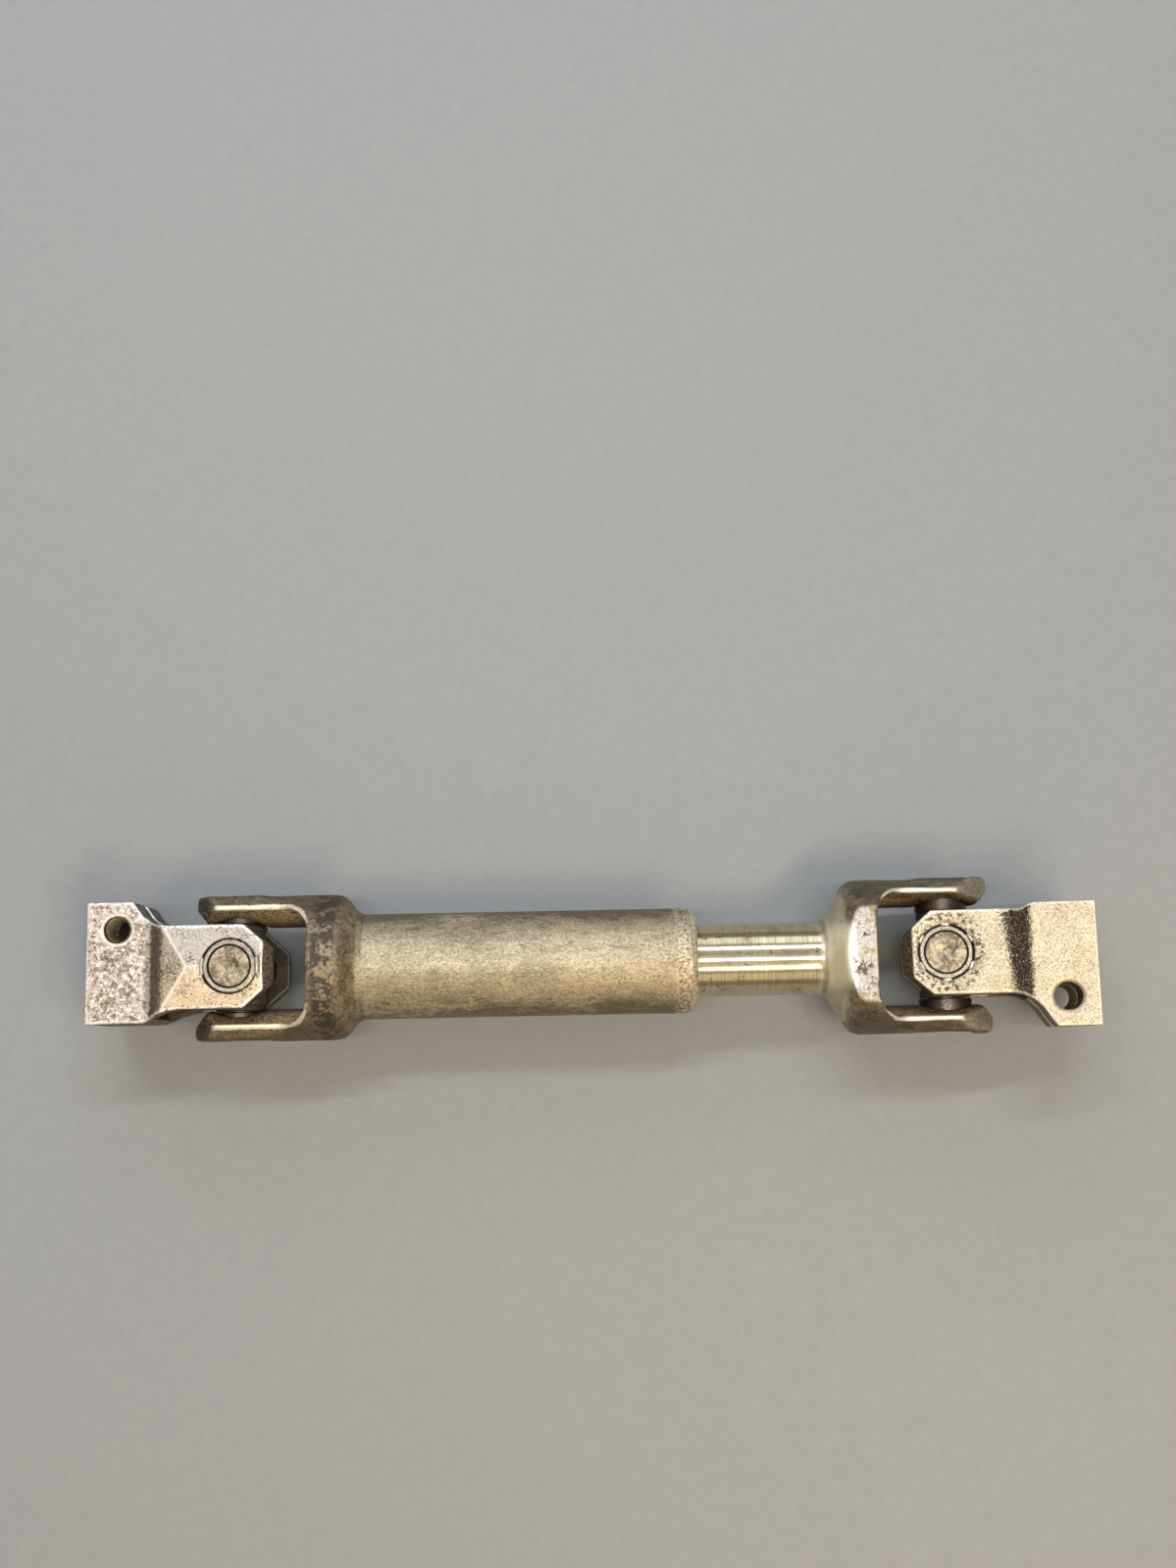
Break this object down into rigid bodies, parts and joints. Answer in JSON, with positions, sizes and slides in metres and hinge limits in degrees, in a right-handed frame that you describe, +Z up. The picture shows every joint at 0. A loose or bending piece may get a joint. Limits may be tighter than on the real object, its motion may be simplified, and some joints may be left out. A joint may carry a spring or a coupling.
{
  "type": "universal joint shaft",
  "caption": "Telescoping universal joint shaft with a cross joint at each end, splined clamp yokes for the shafts it links, and an inner shaft sliding in an outer tube.",
  "frame": {"origin": "centre of the whole shaft's box, which in Y and Z is the axis of the tube", "axes": "+X along the shaft from the tube yoke end to the shaft yoke end, +Y along the pins of the tube and shaft yokes, +Z up along the pins of the clamp yokes"},
  "size_m": [0.3048, 0.048, 0.0447],
  "materials": {
    "tube_steel": "bare forged and drawn steel, dull, stained and finely scratched, the yoke collar darker",
    "turned_steel": "bare steel, bright and turned on the shaft, duller on the forged yoke, milled flats bright",
    "left_forged_steel": "bare bright steel, pitted and rough on the clamp, smoother on the ears",
    "right_forged_steel": "bare steel with a fine satin blasted surface",
    "bearing_cup_steel": "hardened ground steel, bright rim, stained centre",
    "cross_steel": "hardened steel, dark forged hub, ground trunnions",
    "needle_steel": "polished bearing steel",
    "thrust_nylon": "natural nylon",
    "sliding_nylon": "moulded nylon, greased",
    "plated_plug": "zinc plated pressed steel",
    "black_rubber": "moulded nitrile rubber"
  },
  "bodies": {
    "outer_tube": {"outer_tube_yoke": "tube_steel", "tube_end_plug": "plated_plug", "dust_seal": "black_rubber", "left_tube_cup_far": "bearing_cup_steel", "left_tube_cup_near": "bearing_cup_steel", "left_tube_needles": "needle_steel", "left_tube_pads": "thrust_nylon"},
    "left_spider": {"left_cross": "cross_steel", "left_cross_seals": "black_rubber"},
    "left_clamp": {"left_clamp_yoke": "left_forged_steel", "left_clamp_cup_top": "bearing_cup_steel", "left_clamp_cup_bottom": "bearing_cup_steel", "left_clamp_needles": "needle_steel", "left_clamp_pads": "thrust_nylon"},
    "inner_shaft": {"inner_shaft_yoke": "turned_steel", "spline_sleeve": "sliding_nylon", "right_shaft_cup_far": "bearing_cup_steel", "right_shaft_cup_near": "bearing_cup_steel", "right_shaft_needles": "needle_steel", "right_shaft_pads": "thrust_nylon"},
    "right_spider": {"right_cross": "cross_steel", "right_cross_seals": "black_rubber"},
    "right_clamp": {"right_clamp_yoke": "right_forged_steel", "right_clamp_cup_top": "bearing_cup_steel", "right_clamp_cup_bottom": "bearing_cup_steel", "right_clamp_needles": "needle_steel", "right_clamp_pads": "thrust_nylon"}
  },
  "joints": [
    {"name": "left_tube_pins", "type": "hinge", "parent": "outer_tube", "child": "left_spider", "pos_m": [-0.1075, 0, 0], "axis": [0, 1, 0], "range_deg": [-28, 28]},
    {"name": "left_clamp_pins", "type": "hinge", "parent": "left_spider", "child": "left_clamp", "pos_m": [-0.1075, 0, 0], "axis": [0, 0, 1], "range_deg": [-25, 25]},
    {"name": "spline_slide", "type": "slide", "parent": "outer_tube", "child": "inner_shaft", "axis": [1, 0, 0], "range_m": [-0.028, 0.02]},
    {"name": "right_shaft_pins", "type": "hinge", "parent": "inner_shaft", "child": "right_spider", "pos_m": [0.1075, 0, 0], "axis": [0, 1, 0], "range_deg": [-19, 37]},
    {"name": "right_clamp_pins", "type": "hinge", "parent": "right_spider", "child": "right_clamp", "pos_m": [0.1075, 0, 0], "axis": [-0.1564, 0, 0.9877], "range_deg": [-25, 25]}
  ]
}
